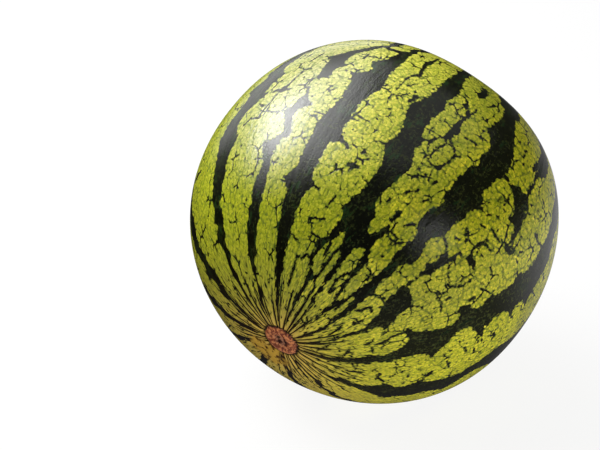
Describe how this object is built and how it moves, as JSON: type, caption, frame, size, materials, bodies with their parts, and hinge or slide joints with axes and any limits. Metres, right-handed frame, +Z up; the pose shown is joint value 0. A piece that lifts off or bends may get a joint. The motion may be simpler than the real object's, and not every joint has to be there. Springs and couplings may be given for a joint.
{
  "type": "watermelon",
  "caption": "Whole round striped watermelon on its side, with a corky blossom button at one end and a dimple with a short dry stalk stump at the other.",
  "frame": {"origin": "middle of the small flat spot that the fruit rests on", "axes": "+Z up, -Y towards the blossom end, which droops 18 degrees below level, and +Y towards the stem end"},
  "size_m": [0.2434, 0.2302, 0.2387],
  "materials": {
    "rind": "satin"
  },
  "bodies": {
    "root": {"watermelon": "rind"}
  },
  "joints": []
}
